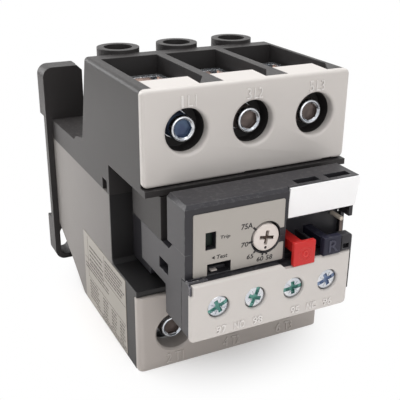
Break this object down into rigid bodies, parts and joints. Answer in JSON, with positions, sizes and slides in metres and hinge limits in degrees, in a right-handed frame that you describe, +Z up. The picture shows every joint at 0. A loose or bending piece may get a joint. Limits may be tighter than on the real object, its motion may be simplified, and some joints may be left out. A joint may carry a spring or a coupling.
{
  "type": "thermal overload relay",
  "caption": "Three pole thermal overload relay on a panel and rail adapter, with box terminals, current dial, trip flag, test slide, stop and reset buttons.",
  "frame": {"origin": "middle of the underside, at the centre of the outer box", "axes": "+Z up with the line terminals on top, -Y out of the front with the dial and buttons, +Y towards the mounting plate, X along the row of poles"},
  "size_m": [0.0746, 0.1284, 0.0981],
  "materials": {
    "black_polyamide": "fine moulded grain",
    "dark_polyamide": "fine moulded grain",
    "grey_polyamide": "fine moulded grain",
    "light_grey_polyamide": "satin",
    "load_grey_polyamide": "satin",
    "label_film": "silver grey film",
    "face_film": "silver grey film",
    "dial_plastic": "satin",
    "flag_green": "satin",
    "white_plastic": "satin",
    "red_plastic": "satin",
    "navy_plastic": "satin",
    "zinc_steel": "bright zinc plated",
    "spring_steel": "drawn wire",
    "brass": "stamped",
    "copper": "tinned copper"
  },
  "bodies": {
    "relay": {"adapter_housing": "black_polyamide", "mounting_plate": "black_polyamide", "latch_spring": "spring_steel", "line_cover": "light_grey_polyamide", "load_cover": "load_grey_polyamide", "aux_cover": "light_grey_polyamide", "relay_housing": "grey_polyamide", "rating_label": "label_film", "module_base": "dark_polyamide", "module_rear": "dark_polyamide", "module_cover": "dark_polyamide", "face_plate": "face_film", "tag_holder": "dark_polyamide", "marker_tag": "white_plastic", "contact_pin": "white_plastic", "contact_leaf": "brass", "aux_base": "dark_polyamide", "aux_terminals": "brass", "line_cage_1": "zinc_steel", "line_busbar_1": "copper", "load_cage_1": "zinc_steel", "load_busbar_1": "copper", "line_cage_2": "zinc_steel", "line_busbar_2": "copper", "load_cage_2": "zinc_steel", "load_busbar_2": "copper", "line_cage_3": "zinc_steel", "line_busbar_3": "copper", "load_cage_3": "zinc_steel", "load_busbar_3": "copper"},
    "rail_latch": {"rail_latch": "black_polyamide"},
    "current_dial": {"current_dial": "dial_plastic"},
    "test_slide": {"test_slide": "dial_plastic"},
    "trip_flag": {"trip_flag": "flag_green"},
    "stop_button": {"stop_button": "red_plastic"},
    "reset_button": {"reset_button": "navy_plastic"},
    "line_clamp_1": {"line_clamp_1": "zinc_steel"},
    "line_screw_1": {"line_screw_1": "zinc_steel"},
    "load_clamp_1": {"load_clamp_1": "zinc_steel"},
    "load_screw_1": {"load_screw_1": "zinc_steel"},
    "line_clamp_2": {"line_clamp_2": "zinc_steel"},
    "line_screw_2": {"line_screw_2": "zinc_steel"},
    "load_clamp_2": {"load_clamp_2": "zinc_steel"},
    "load_screw_2": {"load_screw_2": "zinc_steel"},
    "line_clamp_3": {"line_clamp_3": "zinc_steel"},
    "line_screw_3": {"line_screw_3": "zinc_steel"},
    "load_clamp_3": {"load_clamp_3": "zinc_steel"},
    "load_screw_3": {"load_screw_3": "zinc_steel"},
    "aux_clamp_1": {"aux_clamp_1": "zinc_steel"},
    "aux_screw_1": {"aux_screw_1": "zinc_steel"},
    "aux_clamp_2": {"aux_clamp_2": "zinc_steel"},
    "aux_screw_2": {"aux_screw_2": "zinc_steel"},
    "aux_clamp_3": {"aux_clamp_3": "zinc_steel"},
    "aux_screw_3": {"aux_screw_3": "zinc_steel"},
    "aux_clamp_4": {"aux_clamp_4": "zinc_steel"},
    "aux_screw_4": {"aux_screw_4": "zinc_steel"}
  },
  "joints": [
    {"name": "rail_latch_slide", "type": "slide", "parent": "relay", "child": "rail_latch", "axis": [0, 0, -1], "range_m": [0, 0.004], "stiffness_N_per_m": 600, "springref_m": -0.002, "deforming": ["latch_spring"]},
    {"name": "stop_button_push", "type": "slide", "parent": "relay", "child": "stop_button", "axis": [0, 1, 0], "range_m": [0, 0.003], "stiffness_N_per_m": 300, "springref_m": -0.001},
    {"name": "reset_button_push", "type": "slide", "parent": "relay", "child": "reset_button", "axis": [0, 1, 0], "range_m": [0, 0.0025], "stiffness_N_per_m": 300, "springref_m": -0.001},
    {"name": "test_slide_move", "type": "slide", "parent": "relay", "child": "test_slide", "axis": [-1, 0, 0], "range_m": [0, 0.0017], "stiffness_N_per_m": 200, "springref_m": -0.0005},
    {"name": "trip_flag_show", "type": "slide", "parent": "relay", "child": "trip_flag", "axis": [0, -1, 0], "range_m": [0, 0.0023]},
    {"name": "current_dial_turn", "type": "hinge", "parent": "relay", "child": "current_dial", "pos_m": [-0.0037, -0.05775, 0.0541], "axis": [0, 1, 0], "range_deg": [-3, 132]},
    {"name": "line_clamp_1_slide", "type": "slide", "parent": "relay", "child": "line_clamp_1", "axis": [0, 1, 0], "range_m": [0, 0.0075]},
    {"name": "line_screw_1_turn", "type": "hinge", "parent": "line_clamp_1", "child": "line_screw_1", "pos_m": [-0.021, -0.03855, 0.0836], "axis": [0, 1, 0], "range_deg": [0, 2160]},
    {"name": "line_clamp_2_slide", "type": "slide", "parent": "relay", "child": "line_clamp_2", "axis": [0, 1, 0], "range_m": [0, 0.0075]},
    {"name": "line_screw_2_turn", "type": "hinge", "parent": "line_clamp_2", "child": "line_screw_2", "pos_m": [0.001, -0.03855, 0.0836], "axis": [0, 1, 0], "range_deg": [0, 2160]},
    {"name": "line_clamp_3_slide", "type": "slide", "parent": "relay", "child": "line_clamp_3", "axis": [0, 1, 0], "range_m": [0, 0.0075]},
    {"name": "line_screw_3_turn", "type": "hinge", "parent": "line_clamp_3", "child": "line_screw_3", "pos_m": [0.023, -0.03855, 0.0836], "axis": [0, 1, 0], "range_deg": [0, 2160]},
    {"name": "load_clamp_1_slide", "type": "slide", "parent": "relay", "child": "load_clamp_1", "axis": [0, 1, 0], "range_m": [0, 0.0075]},
    {"name": "load_screw_1_turn", "type": "hinge", "parent": "load_clamp_1", "child": "load_screw_1", "pos_m": [-0.022, -0.03095, 0.013], "axis": [0, 1, 0], "range_deg": [0, 2160]},
    {"name": "load_clamp_2_slide", "type": "slide", "parent": "relay", "child": "load_clamp_2", "axis": [0, 1, 0], "range_m": [0, 0.0075]},
    {"name": "load_screw_2_turn", "type": "hinge", "parent": "load_clamp_2", "child": "load_screw_2", "pos_m": [0, -0.03095, 0.013], "axis": [0, 1, 0], "range_deg": [0, 2160]},
    {"name": "load_clamp_3_slide", "type": "slide", "parent": "relay", "child": "load_clamp_3", "axis": [0, 1, 0], "range_m": [0, 0.0075]},
    {"name": "load_screw_3_turn", "type": "hinge", "parent": "load_clamp_3", "child": "load_screw_3", "pos_m": [0.022, -0.03095, 0.013], "axis": [0, 1, 0], "range_deg": [0, 2160]},
    {"name": "aux_clamp_1_slide", "type": "slide", "parent": "relay", "child": "aux_clamp_1", "axis": [0, 1, 0], "range_m": [0, 0.0036]},
    {"name": "aux_screw_1_turn", "type": "hinge", "parent": "aux_clamp_1", "child": "aux_screw_1", "pos_m": [-0.0206, -0.06235, 0.0366], "axis": [0, 1, 0], "range_deg": [0, 2160]},
    {"name": "aux_clamp_2_slide", "type": "slide", "parent": "relay", "child": "aux_clamp_2", "axis": [0, 1, 0], "range_m": [0, 0.0036]},
    {"name": "aux_screw_2_turn", "type": "hinge", "parent": "aux_clamp_2", "child": "aux_screw_2", "pos_m": [-0.0084, -0.06235, 0.0366], "axis": [0, 1, 0], "range_deg": [0, 2160]},
    {"name": "aux_clamp_3_slide", "type": "slide", "parent": "relay", "child": "aux_clamp_3", "axis": [0, 1, 0], "range_m": [0, 0.0036]},
    {"name": "aux_screw_3_turn", "type": "hinge", "parent": "aux_clamp_3", "child": "aux_screw_3", "pos_m": [0.0049, -0.06235, 0.0366], "axis": [0, 1, 0], "range_deg": [0, 2160]},
    {"name": "aux_clamp_4_slide", "type": "slide", "parent": "relay", "child": "aux_clamp_4", "axis": [0, 1, 0], "range_m": [0, 0.0036]},
    {"name": "aux_screw_4_turn", "type": "hinge", "parent": "aux_clamp_4", "child": "aux_screw_4", "pos_m": [0.0172, -0.06235, 0.0366], "axis": [0, 1, 0], "range_deg": [0, 2160]}
  ],
  "couplings": [
    {"joint": "trip_flag_show", "follows": "test_slide_move", "ratio": 1.3},
    {"joint": "line_screw_1_turn", "follows": "line_clamp_1_slide", "rad_per_m": 5026.5},
    {"joint": "line_screw_2_turn", "follows": "line_clamp_2_slide", "rad_per_m": 5026.5},
    {"joint": "line_screw_3_turn", "follows": "line_clamp_3_slide", "rad_per_m": 5026.5},
    {"joint": "load_screw_1_turn", "follows": "load_clamp_1_slide", "rad_per_m": 5026.5},
    {"joint": "load_screw_2_turn", "follows": "load_clamp_2_slide", "rad_per_m": 5026.5},
    {"joint": "load_screw_3_turn", "follows": "load_clamp_3_slide", "rad_per_m": 5026.5},
    {"joint": "aux_screw_1_turn", "follows": "aux_clamp_1_slide", "rad_per_m": 10472},
    {"joint": "aux_screw_2_turn", "follows": "aux_clamp_2_slide", "rad_per_m": 10472},
    {"joint": "aux_screw_3_turn", "follows": "aux_clamp_3_slide", "rad_per_m": 10472},
    {"joint": "aux_screw_4_turn", "follows": "aux_clamp_4_slide", "rad_per_m": 10472}
  ]
}
